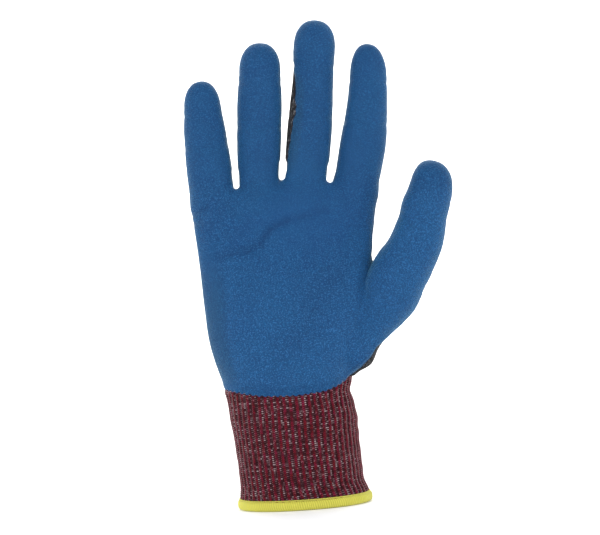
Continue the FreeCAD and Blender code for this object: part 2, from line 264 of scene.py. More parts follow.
# Soft swellings: x, z, reach along x and z, tilt in degrees, height, palm side or back
SWELLINGS = (
    (24, 92, 13, 24, 38, 3.6, -1),
    (-27, 96, 12, 30, -4, 2.6, -1),
    (2, 116, 17, 22, 12, -2.4, -1),
    (-34, 153, 9, 8, 0, 1.6, -1),
    (-12, 155, 9, 8, 0, 1.8, -1),
    (12, 155, 9, 8, 0, 1.8, -1),
    (35, 152, 9, 9, 0, 1.6, -1),
    (-32, 146, 8, 10, 0, 1.8, 1),
    (-11, 150, 8, 10, 0, 2.2, 1),
    (11, 151, 8, 10, 0, 2.4, 1),
    (34, 147, 8, 10, 0, 2.2, 1),
    (-2, 108, 26, 30, 0, 1.2, 1),
)

# Creases of the palm, from x, z to x, z: width and depth
CREASES = (
    (-35, 132, -23, 133, 2.6, 0.8),
    (-23, 133, -14, 135.5, 2.4, 1.1),
    (-14, 135.5, -8, 143.5, 2.2, 1.3),
    (-8, 143.5, 2, 147.5, 2.4, 1.0),
    (2, 147.5, 22, 151.5, 2.4, 0.6),
    (3, 85, 10, 99, 3.2, 0.9),
    (10, 99, 21, 115, 3.0, 1.0),
    (21, 115, 31, 122, 2.6, 0.8),
    (-46.5, 154, -39, 157.5, 1.5, 0.9),
    (-48, 149, -43, 149.5, 1.2, 0.7),
    (40, 113, 44, 127, 1.8, 0.7),
    (-3, 84, 8, 98, 8.0, 0.6),
    (8, 98, 22, 116, 9.0, 0.9),
)


def palm_relief(points):
    """How far the palm and the back stand out, from the swellings and the creases."""
    x, y, z = points.T
    relief = np.zeros(len(points))
    for middle_x, middle_z, reach_x, reach_z, tilt, height, face in SWELLINGS:
        across, along = turned(x, z, middle_x, middle_z, tilt)
        share = np.exp(-((across / reach_x) ** 2) - (along / reach_z) ** 2)
        relief += height * share * smooth_step(-3, 6, face * y)
    return relief - palm_folds(points)


def palm_folds(points):
    """Depth of the palm's creases at each point."""
    x, y, z = points.T
    depths = [
        depth * crease(x, z, (x1, z1), (x2, z2), width) for x1, z1, x2, z2, width, depth in CREASES
    ]
    return np.max(depths, axis=0) * smooth_step(-1, 5, -y)


def crease(x, z, start, end, width):
    """1 on the line from start to end, falling to 0 away from it."""
    run_x, run_z = end[0] - start[0], end[1] - start[1]
    share = ((x - start[0]) * run_x + (z - start[1]) * run_z) / (run_x**2 + run_z**2)
    share = np.clip(share, 0, 1)
    away = np.hypot(x - start[0] - share * run_x, z - start[1] - share * run_z)
    return np.exp(-((away / width) ** 2))


def palm_distance(points):
    """Roughly how far each point is outside the palm and wrist, before their relief."""
    x, y, z = points.T
    power = WRIST_POWER + (PALM_POWER - WRIST_POWER) * smooth_step(58, 100, z)
    over = np.maximum(z - (PALM_TOP - PALM_ROUND), 0)
    return oval_distance(
        (x - palm_middle(z), y, over),
        (palm_half_width(z), palm_half_depth(z), PALM_ROUND),
        power,
    )


limbs = {}
for finger in FINGERS:
    dome, bow, shift = FINGER_SHAPES[finger]
    axis = unit(hinge(f"{finger}_tip") - hinge(f"{finger}_base"))
    root = hinge(f"{finger}_base") - axis * ROOT_TO_HINGE + (shift, 0, 0)
    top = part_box(f"{finger}_tip_coating")[1].z / MM - TIP_WRINKLE
    tip = root + axis * (top - root[2]) / axis[2]
    limbs[finger] = Limb(root, tip, FINGER_WIDTHS[finger], dome, bow, FINGER_CURL)

thumb_end = hinge("thumb_tip") + unit(THUMB_TIP_WAY) * THUMB_TIP_LENGTH
limbs["thumb_ball"] = Limb(THUMB_HEEL, hinge("thumb_base"), THUMB_BALL, bow=4.0)
limbs["thumb_base"] = Limb(hinge("thumb_base"), hinge("thumb_tip"), THUMB_BASE, bow=2.1)
limbs["thumb_tip"] = Limb(hinge("thumb_tip"), thumb_end, THUMB_TIP, THUMB_DOME, bow=1.35)
THUMB_LIMBS = ("thumb_ball", "thumb_base", "thumb_tip")


def knuckle_relief(name, points):
    """Shallow dents across the finger fronts at the knuckles."""
    limb = limbs[name]
    along, _, behind = limb.local(points)
    relief = np.zeros(len(points))
    for joint, depth in (("centre", 0.5), ("tip", 0.4)):
        place = (hinge(f"{name}_{joint}") - limb.start) @ limb.axis
        dent = np.exp(-(((along - place) / 1.8) ** 2))
        dent += 0.6 * np.exp(-(((along - place - 4) / 1.4) ** 2))
        relief -= depth * dent * smooth_step(-4, 4, -behind)
    return relief


# The webs: x and z of each one's bottom, lean in degrees, and half the gap's width there
WEBS = ((-24.0, 166.4, -1.5, 0.85), (-0.2, 169.6, 6.0, 0.75), (24.3, 166.4, 10.5, 1.0))
WEB_GAP_LENGTH = 7.0


def web_gap(points):
    """How far each point is outside the gaps between the fingers."""
    x, _, z = points.T
    gap = np.full(len(points), np.inf)
    for web_x, web_z, lean, half_width in WEBS:
        across, along = turned(x, z, web_x, web_z, lean)
        along -= half_width
        past_ends = along - np.clip(along, 0, WEB_GAP_LENGTH)
        gap = np.minimum(gap, np.hypot(across, past_ends) - half_width)
    return gap


# Over what reach two parts of the hand are rounded into each other
FINGERS_MEET, PALM_MEETS_FINGERS, WEB_EDGE = 2.2, 6.0, 1.4
THUMB_TIP_MEETS, THUMB_BALL_MEETS, THUMB_MEETS_PALM = 1.6, 1.8, 2.6


def hand_distance(points):
    """Roughly how far each point is outside the hand."""
    fingers = None
    for finger in FINGERS:
        one = limbs[finger].distance(points) - knuckle_relief(finger, points)
        fingers = one if fingers is None else smooth_min(fingers, one, FINGERS_MEET)
    palm = palm_distance(points) - palm_relief(points)
    whole = smooth_min(palm, fingers, PALM_MEETS_FINGERS)
    whole = smooth_max(whole, COAT_THICK - web_gap(points), WEB_EDGE)
    thumb = limbs["thumb_base"].distance(points)
    thumb = smooth_min(thumb, limbs["thumb_tip"].distance(points), THUMB_TIP_MEETS)
    thumb = smooth_min(thumb, limbs["thumb_ball"].distance(points), THUMB_BALL_MEETS)
    return smooth_min(whole, thumb, THUMB_MEETS_PALM) + COAT_THICK


CORNERS = np.array(((1, -1, -1), (-1, -1, 1), (-1, 1, -1), (1, 1, 1)), float)
SLOPE_STEP = 0.12
LEAST_SLOPE = 0.05
SURFACE_PULL = 4.0


def slope_and_value(function, points):
    """A function's slope and value at each point, from the corners of a small tetrahedron."""
    slope = np.zeros_like(points)
    value = np.zeros(len(points))
    for corner in CORNERS:
        sample = function(points + corner * SLOPE_STEP)
        slope += corner * sample[:, None] / (4 * SLOPE_STEP)
        value += sample / 4
    return slope, value


def moved_to_zero(function, points, limit):
    """Points moved down a function's slope to where it is 0, and no further than a limit."""
    slope, value = slope_and_value(function, points)
    move = -slope * (value / np.maximum((slope**2).sum(1), LEAST_SLOPE))[:, None]
    size = np.linalg.norm(move, axis=1)
    return points + move * np.minimum(limit / np.maximum(size, 1e-9), 1)[:, None]


def onto_surface(points, rounds):
    """Points moved onto the hand's surface, closer with each round."""
    for _ in range(rounds):
        points = moved_to_zero(hand_distance, points, SURFACE_PULL)
    return points


# ---- the surface's mesh -----------------------------------------------------------

GRID_STEP = 1.25
GRID_LOW = np.array((-56.0, -30.0, 48.0))
GRID_HIGH = np.array((94.0, 26.0, 256.0))
GRID_BLOCKS = 16
FAR_OUTSIDE = 5.0


def first_mesh():
    """Squares over the hand's surface, from a grid of distances."""
    counts = np.ceil((GRID_HIGH - GRID_LOW) / GRID_STEP).astype(int) + 1
    steps = [np.arange(count) * GRID_STEP + low for count, low in zip(counts, GRID_LOW)]
    places = np.stack(np.meshgrid(*steps, indexing="ij"), -1).reshape(-1, 3)
    distances = np.concatenate(
        [hand_distance(block) for block in np.array_split(places, GRID_BLOCKS)]
    )
    grid = openvdb.FloatGrid(FAR_OUTSIDE)
    grid.copyFromArray(distances.reshape(counts).astype(np.float32))
    corners, squares = grid.convertToQuads(0.0)
    return corners * GRID_STEP + GRID_LOW, squares.astype(int)


def neighbours_mean(points, edges):
    """The middle of each point's neighbours."""
    total = np.zeros_like(points)
    count = np.zeros(len(points))
    for first, second in ((0, 1), (1, 0)):
        np.add.at(total, edges[:, first], points[edges[:, second]])
        np.add.at(count, edges[:, first], 1)
    return total / np.maximum(count, 1)[:, None]


def sides_of(squares):
    """The four sides of each square, as pairs of points."""
    return np.concatenate([squares[:, [k, (k + 1) % 4]] for k in range(4)])


def edges_of(squares):
    """Every side of the squares, once."""
    return np.unique(np.sort(sides_of(squares), 1), axis=0)


def face_normals(points, squares):
    """Each square's normal, as long as twice its area."""
    a, b, c, d = (points[squares[:, k]] for k in range(4))
    return np.cross(c - a, d - b)


def point_normals(points, squares):
    """The normal at each point, from the squares around it."""
    total = np.zeros_like(points)
    across = face_normals(points, squares)
    for k in range(4):
        np.add.at(total, squares[:, k], across)
    return unit_rows(total)


def subdivided(points, squares):
    """Each square into four, with a point on each edge and in each middle."""
    edges = edges_of(squares)
    key = edges[:, 0] * len(points) + edges[:, 1]
    order = np.argsort(key)
    mids = (points[edges[:, 0]] + points[edges[:, 1]]) / 2
    middles = points[squares].mean(1)
    first_mid, first_middle = len(points), len(points) + len(mids)

    def mid_of(a, b):
        low, high = np.minimum(a, b), np.maximum(a, b)
        return first_mid + order[np.searchsorted(key[order], low * len(points) + high)]

    parts = []
    centre = first_middle + np.arange(len(squares))
    for k in range(4):
        corner, after, before = squares[:, k], squares[:, (k + 1) % 4], squares[:, k - 1]
        parts.append(np.stack((corner, mid_of(corner, after), centre, mid_of(before, corner)), 1))
    return np.concatenate((points, mids, middles)), np.concatenate(parts)


RELAX_SHARE = 0.6


def relaxed(points, squares, rounds):
    """Spread the points evenly, and keep them on the surface."""
    edges = edges_of(squares)
    for _ in range(rounds):
        move = neighbours_mean(points, edges) - points
        points = onto_surface(points + RELAX_SHARE * move, 1)
    return points


def hand_mesh():
    """The hand's surface as small even squares that face outwards."""
    points, squares = first_mesh()
    points = relaxed(onto_surface(points, 2), squares, 2)
    points, squares = subdivided(points, squares)
    points = relaxed(points, squares, 2)
    slopes, _ = slope_and_value(hand_distance, points[squares[:, 0]])
    if (face_normals(points, squares) * slopes).sum() < 0:
        squares = squares[:, ::-1]
    return points, squares


# ---- which part of the glove a point is on ----------------------------------------

PALM_LEAD = 1.0
SHARE_SOFTNESS = 1.6


def limb_distances(points):
    """How far each point is outside the palm and each limb, with a little lead for the palm."""
    distances = {name: limb.distance(points) for name, limb in limbs.items()}
    return {"palm": palm_distance(points) - PALM_LEAD, **distances}


def limb_shares(points):
    """How much each point belongs to the palm and to each limb, adding up to 1."""
    distances = limb_distances(points)
    table = np.stack(list(distances.values()))
    weights = np.exp(-(table - table.min(0)) / SHARE_SOFTNESS)
    weights /= weights.sum(0)
    return dict(zip(distances, weights))


# The ribs' turn around the wrist at a few heights, as a share of the way round
RIBS = 54
RIB_TWIST = curve_through((0, 22, 40, 66), (0.0, -0.005, -0.004, 0.0165))
RIB_CREST = 0.25
# Height at which the coating's lower edge counts the ribs it lies on
EDGE_HEIGHT = 60.0

# How far behind the middle of the hand, of the fingers and of the thumb's outer side the
# coating ends, and how far it stops short in the crotch of the thumb and at its heel
PALM_LAP, FINGER_LAP, THUMB_LAP = 3.0, 2.4, 4.5
CROTCH_BARE, HEEL_BARE = 5.5, 6.0

# From how far below a tip the coating wraps round behind it, and how fast
NAIL_WRAP, NAIL_CURVE = 12.0, 0.16
RIB_SCALLOP = 0.45
COAT_CORNER = 5.0
LOWEST_COAT = 58.3

# Where the coating ends on the ring finger's side of the middle finger: distance along the
# finger, and how far behind the finger's middle (ahead of it where below 0)
BARE_SIDE = curve_through(
    (0, 6, 13, 25, 39, 45, 51, 58, 66), (-2.0, -4.6, -6.0, -7.0, -7.3, -6.8, -5.9, -3.2, 2.4)
)


def coat_reach(points):
    """Below 0 where the glove is coated, and roughly the distance from the coating's edge."""
    shares = limb_shares(points)
    x, y, z = points.T
    wobble = field_noise(points, 9.0) * 0.5 + field_noise(points, 3.1) * 0.3
    crotch = smooth_step(121, 127, z) * smooth_step(152, 134, z) * smooth_step(38, 42, x)
    behind = shares["palm"] * (y - PALM_LAP + CROTCH_BARE * crotch)
    for name, limb in limbs.items():
        along, across, back = limb.local(points)
        edge = np.full(len(points), FINGER_LAP)
        if limb.dome:
            over_tip = np.maximum(along - (limb.length - NAIL_WRAP), 0)
            edge += NAIL_CURVE * over_tip**2
        if name in THUMB_LIMBS:
            edge += THUMB_LAP * smooth_step(-6, 8, across)
        if name == "middle":
            edge += (BARE_SIDE(along) - FINGER_LAP) * smooth_step(2, -5, across)
        behind += shares[name] * (back - edge)
    heel = smooth_step(-11, 1, y) * smooth_step(14, 25, x)
    scallop = np.cos((rib_number(points) - RIB_CREST) * 2 * math.pi)
    below = lower_edge(x) + HEEL_BARE * heel - RIB_SCALLOP * scallop - z
    return smooth_max(behind + wobble, below + wobble * 0.5, COAT_CORNER)


def lower_edge(x):
    """Height of the coating's lower edge: a shallow bowl that climbs to the thumb."""
    near, far = np.minimum(x, 42), np.maximum(x - 42, 0)
    bowl = 0.0040 * (near + 3) ** 2 + 0.014 * np.maximum(near - 13, 0) ** 2
    return LOWEST_COAT + bowl + 0.45 * far


OUTLINE_STEPS = 720


def wrist_outline(height):
    """The wrist's outline at one height, as closely spaced points, and the distance to each."""
    angles = np.linspace(0, 2 * math.pi, OUTLINE_STEPS + 1)
    power = 2 / WRIST_POWER
    x = palm_middle(height) + palm_half_width(height) * squarish(np.cos(angles), power)
    y = palm_half_depth(height) * squarish(np.sin(angles), power)
    return x, y, np.concatenate(((0,), np.cumsum(np.hypot(np.diff(x), np.diff(y)))))


def rib_number(points):
    """How many ribs a point is round the wrist, near the coating's lower edge."""
    x, y, length = wrist_outline(EDGE_HEIGHT)
    middle = palm_middle(EDGE_HEIGHT)
    turn = np.unwrap(np.arctan2(y, x - middle))
    place = np.arctan2(points[:, 1], points[:, 0] - middle) % (2 * math.pi)
    return (np.interp(place, turn, length) / length[-1] - RIB_TWIST(EDGE_HEIGHT)) * RIBS


def field_noise(points, size, seed=0.0):
    """Smooth noise between about -1 and 1 with features of the given size."""
    scaled = points / size + seed
    return np.array([noise.noise(Vector(place)) for place in scaled])


def wrapped(flat, over, y, depth):
    """Distance over a section that is flat, and then goes round an edge of the given depth."""
    return flat + np.minimum(over, 0) + depth * np.arctan2(np.maximum(over, 0), np.abs(y) + 1e-6)


def stitch_places(points):
    """Wale and course of the knit at each point, in millimetres across and along."""
    shares = limb_shares(points)
    x, y, z = points.T
    offset = x - palm_middle(z)
    depth = palm_half_depth(z)
    flat = palm_half_width(z) - depth
    ball, base = limbs["thumb_ball"], limbs["thumb_base"]
    along, across, _ = ball.local(points)
    over = across / ball.side[0]
    wale = shares["palm"] * np.sign(offset) * wrapped(flat, np.abs(offset) - flat, y, depth)
    wale += shares["thumb_ball"] * wrapped(offset - over, over, y, ball.half_width(along))
    course = (shares["palm"] + shares["thumb_ball"]) * z
    starts = {name: limbs[name].start[[0, 2]] for name in (*FINGERS, "thumb_base")}
    starts["thumb_tip"] = starts["thumb_base"] + (0, base.length)
    for name, (first_wale, first_course) in starts.items():
        along, across, behind = limbs[name].local(points)
        angle = np.arctan2(across, behind)
        wale += shares[name] * (first_wale + limbs[name].half_width(along) * angle)
        course += shares[name] * (first_course + along)
    return wale, course


# ---- making pieces ----------------------------------------------------------------

def new_object(name, data):
    """An object in the scene for a mesh, a camera or a light."""
    item = bpy.data.objects.new(name, data)
    bpy.context.scene.collection.objects.link(item)
    return item


def new_piece(name, points, faces, corner_normals, attributes, material):
    """A mesh in metres from points in millimetres, with its own normals and attributes."""
    mesh = bpy.data.meshes.new(name)
    mesh.from_pydata(points * MM, [], faces)
    mesh.shade_smooth()
    if corner_normals is not None:
        mesh.normals_split_custom_set(corner_normals)
    for key, values in attributes.items():
        kind = "FLOAT" if values.ndim == 1 else "FLOAT_VECTOR"
        field = "value" if values.ndim == 1 else "vector"
        layer = mesh.attributes.new(key, kind, "POINT")
        layer.data.foreach_set(field, values.astype(np.float32).ravel())
    mesh.materials.append(material)
    return new_object(name, mesh)


def rim_edges(squares):
    """Edges that only one square has, in the direction in which that square has them."""
    pairs = sides_of(squares)
    size = squares.max() + 1
    forward = pairs[:, 0] * size + pairs[:, 1]
    backward = pairs[:, 1] * size + pairs[:, 0]
    return pairs[~np.isin(forward, backward)]


def skin_piece(name, squares, outer, inner, normals, attributes, material):
    """A closed layer: squares of the outside, the same on the inside, and a rim between."""
    used, local = np.unique(squares, return_inverse=True)
    local = local.reshape(-1, 4)
    count = len(used)
    rim = rim_edges(local)
    rim_squares = np.stack((rim[:, 1], rim[:, 0], rim[:, 0] + count, rim[:, 1] + count), 1)
    points = np.concatenate((outer[used], inner[used]))
    outward = normals[used]
    rim_out = unit_rows(face_normals(points, rim_squares))
    rim_corners = np.repeat(rim_out[:, None], 4, axis=1)
    rim_corners[:, :2] += outward[rim_squares[:, :2]]
    corners = np.concatenate((outward[local], -outward[local[:, ::-1]], rim_corners))
    faces = np.concatenate((local, local[:, ::-1] + count, rim_squares))
    both = {key: np.concatenate((values[used],) * 2) for key, values in attributes.items()}
    return new_piece(name, points, faces, corners.reshape(-1, 3), both, material)


# ---- materials --------------------------------------------------------------------

class Shader:
    """A material under construction: short names for its nodes and links."""

    def __init__(self, name, **settings):
        self.material = bpy.data.materials.new(name)
        self.material.use_nodes = True
        self.tree = self.material.node_tree
        self.surface = self.tree.nodes["Principled BSDF"]
        for key, value in settings.items():
            self.surface.inputs[key.replace("_", " ")].default_value = value

    def sheen(self, weight, roughness=0.5, tint=(1, 1, 1)):
        """Soft light from the fibres or the skin that stand up at the outline."""
        self.surface.inputs["Sheen Weight"].default_value = weight
        self.surface.inputs["Sheen Roughness"].default_value = roughness
        self.surface.inputs["Sheen Tint"].default_value = (*tint, 1)

    def node(self, kind, inputs=(), **settings):
        """A new node, with its settings, and its inputs linked or set."""
        node = self.tree.nodes.new(kind)
        for key, value in settings.items():
            setattr(node, key, value)
        for key, value in dict(inputs).items():
            if isinstance(value, bpy.types.NodeSocket):
                self.tree.links.new(value, node.inputs[key])
            else:
                node.inputs[key].default_value = value
        return node

    def math(self, operation, *values):
        """The result of one step of arithmetic."""
        return self.node("ShaderNodeMath", enumerate(values), operation=operation).outputs[0]

    def plus(self, first, second):
        return self.math("ADD", first, second)

    def minus(self, first, second):
        return self.math("SUBTRACT", first, second)

    def times(self, first, second):
        return self.math("MULTIPLY", first, second)

    def apart(self, first, second):
        """How far two values are apart."""
        return self.math("ABSOLUTE", self.minus(first, second))

    def wave(self, turns):
        """The sine of a number of whole turns."""
        return self.math("SINE", self.times(turns, 2 * math.pi))

    def value(self, attribute):
        """A number that the mesh holds for each of its points."""
        return self.node("ShaderNodeAttribute", attribute_name=attribute).outputs["Fac"]

    def vector(self, attribute):
        """Three numbers that the mesh holds for each of its points."""
        return self.node("ShaderNodeAttribute", attribute_name=attribute).outputs["Vector"]

    def noise(self, vector, scale, detail=2.0, roughness=0.5):
        """Smooth noise around 0.5, with so many waves to a millimetre."""
        inputs = {"Vector": vector, "Scale": scale, "Detail": detail, "Roughness": roughness}
        return self.node("ShaderNodeTexNoise", inputs).outputs["Fac"]

    def speckle(self, vector):
        """A random number for each whole-number cell."""
        cell = self.node("ShaderNodeVectorMath", {0: vector}, operation="FLOOR").outputs[0]
        return self.node("ShaderNodeTexWhiteNoise", {"Vector": cell}).outputs["Value"]

    def ramp(self, value, *stops, steps=False):
        """A colour for each value, blended between stops or in steps from one to the next."""
        node = self.node("ShaderNodeValToRGB", {"Fac": value})
        ramp = node.color_ramp
        ramp.interpolation = "CONSTANT" if steps else "LINEAR"
        while len(ramp.elements) < len(stops):
            ramp.elements.new(0.5)
        for element, (place, colour) in zip(ramp.elements, stops):
            element.position = place
            element.color = (*colour, 1)
        return node.outputs["Color"]

    def between(self, value, low, high):
        """0 below the low value, 1 above the high one, smooth between."""
        inputs = {"Value": value, "From Min": low, "From Max": high}
        node = self.node("ShaderNodeMapRange", inputs, interpolation_type="SMOOTHSTEP")
        return node.outputs["Result"]

    def mix(self, share, first, second):
        """The first colour with a share of the second one in it."""
        node = self.node("ShaderNodeMix", data_type="RGBA")
        for index, value in ((0, share), (6, first), (7, second)):
            if isinstance(value, bpy.types.NodeSocket):
                self.tree.links.new(value, node.inputs[index])
            else:
                node.inputs[index].default_value = value if index == 0 else (*value, 1)
        return node.outputs[2]

    def combine(self, *values):
        return self.node("ShaderNodeCombineXYZ", enumerate(values)).outputs[0]

    def split(self, vector):
        return self.node("ShaderNodeSeparateXYZ", {0: vector}).outputs

    def finish(self, colour, roughness=None, height=None, strength=0.5, distance=0.3):
        """The material, with its colour, roughness and bumps (distance in millimetres)."""
        links = self.tree.links
        links.new(colour, self.surface.inputs["Base Color"])
        if roughness is not None:
            links.new(roughness, self.surface.inputs["Roughness"])
        if height is not None:
            inputs = {"Height": height, "Strength": strength, "Distance": distance * MM}
            bump = self.node("ShaderNodeBump", inputs)
            links.new(bump.outputs["Normal"], self.surface.inputs["Normal"])
        return self.material


LATEX = (0.0060, 0.0635, 0.180)
LATEX_DEEP = (0.0050, 0.0550, 0.167)
LATEX_PAINTED_SHADE = (0.0015, 0.0220, 0.085)
LATEX_PAINTED_LIGHT = (0.0360, 0.1780, 0.425)
LATEX_THIN_AND_SHADE = (0.012, 0.056, 0.116)


def latex_material():
    """Crinkled latex: a net of fine wrinkles a millimetre apart with painted shade in the grooves,
    and between them raised specks with painted highlights.
    """
    shader = Shader("crinkled_latex", Roughness=0.6, Specular_IOR_Level=0.15)
    shader.sheen(0.3, 0.25, (0.45, 0.95, 1.0))
    grain, thin_and_shade, crease_shade = (shader.value(name) for name in ("grain", "thin_and_shade", "crease_shade"))
    rest = shader.vector("rest")
    broad = shader.noise(rest, 0.05, 3.0)
    fine = shader.noise(rest, 0.95, 3.0, 0.6)
    pillow = shader.between(shader.apart(fine, 0.5), 0.0, 0.09)
    speck = shader.between(shader.noise(rest, 1.7, 2.0, 0.55), 0.50, 0.64)
    tone = shader.mix(shader.between(broad, 0.38, 0.62), LATEX_DEEP, LATEX)
    # darker teal where the coating thins at its edges, and painted shade down the heel's outer
    # side
    tone = shader.mix(shader.times(thin_and_shade, 0.6), tone, LATEX_THIN_AND_SHADE)
    # painted shade: the palm's creases darkened by their depth
    tone = shader.mix(shader.times(crease_shade, 0.42), tone, LATEX_PAINTED_SHADE)
    # painted shade in the grooves of the wrinkle net
    groove_shade = shader.times(shader.minus(1.0, pillow), 0.78)
    tone = shader.mix(shader.times(groove_shade, grain), tone, LATEX_PAINTED_SHADE)
    # painted highlight on the raised specks, stronger where the wrinkles are strong
    speck_highlight = shader.times(speck, 0.46)
    tone = shader.mix(shader.times(speck_highlight, grain), tone, LATEX_PAINTED_LIGHT)
    # painted light: lighter where the wrinkles are strongest
    painted_light = shader.times(shader.between(grain, 0.75, 1.0), 0.10)
    tone = shader.mix(painted_light, tone, LATEX_PAINTED_LIGHT)
    height = shader.times(pillow, grain)
    height = shader.plus(height, shader.times(speck, 0.5))
    rough = shader.plus(0.5, shader.times(fine, 0.2))
    return shader.finish(tone, rough, height, strength=0.6, distance=0.3)


def stitch_height(shader, wale, course, slant=0.9):
    """Knit stitches: in each wale two legs that lean together, one V for each course."""
    across = shader.apart(shader.math("FRACT", wale), 0.5)
    lean = shader.plus(course, shader.times(across, slant))
    along = shader.wave(lean)
    leg = shader.wave(across)
    bulge = shader.times(leg, shader.plus(0.75, shader.times(along, 0.25)))
    return bulge, lean


WALE, COURSE = 1.7, 1.15


def knit_material():
    """The liner: fine jersey of black, grey and white yarns twisted together."""
    shader = Shader("melange_knit", Roughness=0.9, Specular_IOR_Level=0.12)
    shader.sheen(0.05)
    rest = shader.vector("rest")
    place = shader.split(shader.vector("stitch"))
    wale = shader.math("DIVIDE", place[0], WALE)
    course = shader.math("DIVIDE", place[1], COURSE)
    height, lean = stitch_height(shader, wale, course)
    number = shader.speckle(shader.combine(shader.times(wale, 2), lean, 0.0))
    yarn = shader.ramp(
        number,
        (0.0, (0.008, 0.008, 0.009)),
        (0.40, (0.020, 0.020, 0.022)),
        (0.68, (0.055, 0.055, 0.060)),
        (0.86, (0.105, 0.105, 0.110)),
        (0.93, (0.210, 0.210, 0.220)),
        steps=True,
    )
    fibre = shader.noise(rest, 6.0, 2.0)
    yarn = shader.mix(shader.times(fibre, 0.5), yarn, (0.012, 0.012, 0.014))
    shade = shader.between(height, 0.0, 0.7)
    tone = shader.mix(shade, (0.004, 0.004, 0.005), yarn)
    height = shader.plus(height, shader.times(fibre, 0.15))
    return shader.finish(tone, None, height, strength=0.8, distance=0.4)


CRIMSON = (0.185, 0.0060, 0.0200)
CRIMSON_PINK = (0.220, 0.0140, 0.0480)
CRIMSON_BROWN = (0.160, 0.0080, 0.0130)
CRIMSON_DARK = (0.042, 0.0040, 0.0075)
CRIMSON_FLECK = (0.420, 0.2100, 0.2500)
RIB_SHADE = (0.013, 0.0025, 0.0045)
LEG_SLANT = 1.8


def rib_material():
    """The wrist: raised crimson wales, and sunk between them the bars of melange loops."""
    shader = Shader("rib_knit", Roughness=0.9, Specular_IOR_Level=0.1)
    shader.sheen(0.7, 0.3, (1.0, 0.8, 0.8))
    rest = shader.vector("rest")
    place = shader.split(shader.vector("stitch"))
    rib, course = place[0], place[1]
    phase = shader.math("FRACT", rib)
    across = shader.apart(phase, RIB_CREST)
    lean = shader.plus(course, shader.times(across, LEG_SLANT))
    fibre = shader.noise(rest, 5.0, 2.0)

    leg = shader.between(shader.wave(lean), -1.0, 0.1)
    ply = shader.speckle(shader.combine(shader.times(rib, 4), lean, 1.0))
    tint = shader.noise(rest, 0.45, 2.0)
    red = shader.ramp(tint, (0.36, CRIMSON_BROWN), (0.50, CRIMSON), (0.64, CRIMSON_PINK))
    red = shader.mix(shader.times(shader.between(ply, 0.55, 0.10), 0.8), red, CRIMSON_DARK)
    red = shader.mix(shader.times(shader.between(ply, 0.86, 0.98), 0.40), red, CRIMSON_FLECK)
    # painted shade in the gaps between the stitch legs, where the relief is low
    red = shader.mix(shader.minus(1.0, leg), red, CRIMSON_DARK)

    beat = shader.apart(shader.math("FRACT", course), 0.5)
    bar = shader.between(beat, 0.36, 0.14)
    number = shader.speckle(shader.combine(shader.plus(rib, RIB_CREST), course, 3.0))
    patch = shader.noise(rest, 0.28, 2.0)
    number = shader.plus(number, shader.times(shader.minus(patch, 0.5), 0.7))
    far_side = shader.times(shader.between(phase, 0.62, 0.9), 0.3)
    number = shader.minus(number, far_side)
    grey = shader.ramp(
        number,
        (0.0, (0.034, 0.0055, 0.0095)),
        (0.28, (0.072, 0.026, 0.034)),
        (0.60, (0.165, 0.098, 0.110)),
        (1.0, (0.470, 0.360, 0.385)),
    )
    grey = shader.mix(bar, RIB_SHADE, grey)

    furrow = shader.between(across, 0.215, 0.275)
    yarn = shader.mix(furrow, red, grey)
    # painted shade along the edges of each furrow, beside the wales
    brink_shade = shader.times(shader.between(shader.apart(across, 0.245), 0.06, 0.01), 0.6)
    yarn = shader.mix(brink_shade, yarn, RIB_SHADE)
    yarn = shader.mix(shader.times(fibre, 0.35), yarn, (0.02, 0.003, 0.005))
    height = shader.mix(furrow, leg, bar)
    height = shader.plus(height, shader.times(fibre, 0.2))
    return shader.finish(yarn, None, height, strength=0.6, distance=0.3)


def thread_material():
    """The overlock thread: soft yellow-green, darker between its turns."""
    shader = Shader("overlock_thread", Roughness=0.7, Specular_IOR_Level=0.3)
    shader.sheen(0.2)
    rest = shader.vector("rest")
    ply = shader.wave(shader.value("turn"))
    tone = shader.ramp(
        shader.between(ply, -1.0, 0.2), (0.0, (0.36, 0.36, 0.032)), (1.0, (0.54, 0.53, 0.066))
    )
    patch = shader.noise(rest, 0.22, 2.0)
    tone = shader.mix(shader.times(patch, 0.5), tone, (0.58, 0.50, 0.075))
    fibre = shader.noise(rest, 5.0, 2.0)
    return shader.finish(tone, None, fibre, strength=0.4, distance=0.2)


def elastic_material():
    """Elastic yarn wound with a pale covering thread."""
    shader = Shader("covered_elastic", Roughness=0.8, Specular_IOR_Level=0.3)
    ply = shader.wave(shader.value("turn"))
    tone = shader.ramp(
        shader.between(ply, -0.9, 0.4), (0.0, (0.30, 0.28, 0.23)), (1.0, (0.62, 0.60, 0.54))
    )
    return shader.finish(tone, None, ply, strength=0.4, distance=0.15)


latex, knit, rib_knit = latex_material(), knit_material(), rib_material()
thread, elastic = thread_material(), elastic_material()

# ---- the hand's pieces ------------------------------------------------------------

# Where each bend starts and ends, measured along the hand from its hinge
BASE_BEND = (-4.0, 8.0)
THUMB_BASE_BEND = (3.0, 14.0)
THUMB_TIP_BEND = (-6.0, 6.0)
THUMB_TIP_EARLY = 3.0

# The stretches of a finger and of the thumb, and the knuckle at the start of each
STRETCHES = {"finger": ("lower", "centre", "tip"), "thumb": ("base", "tip")}
KNUCKLES = {"finger": ("base", "centre", "tip"), "thumb": ("base", "tip")}
regions = [("hand", 0)]
regions += [(finger, step) for finger in FINGERS for step in range(3)]
regions += [("thumb", 0), ("thumb", 1)]


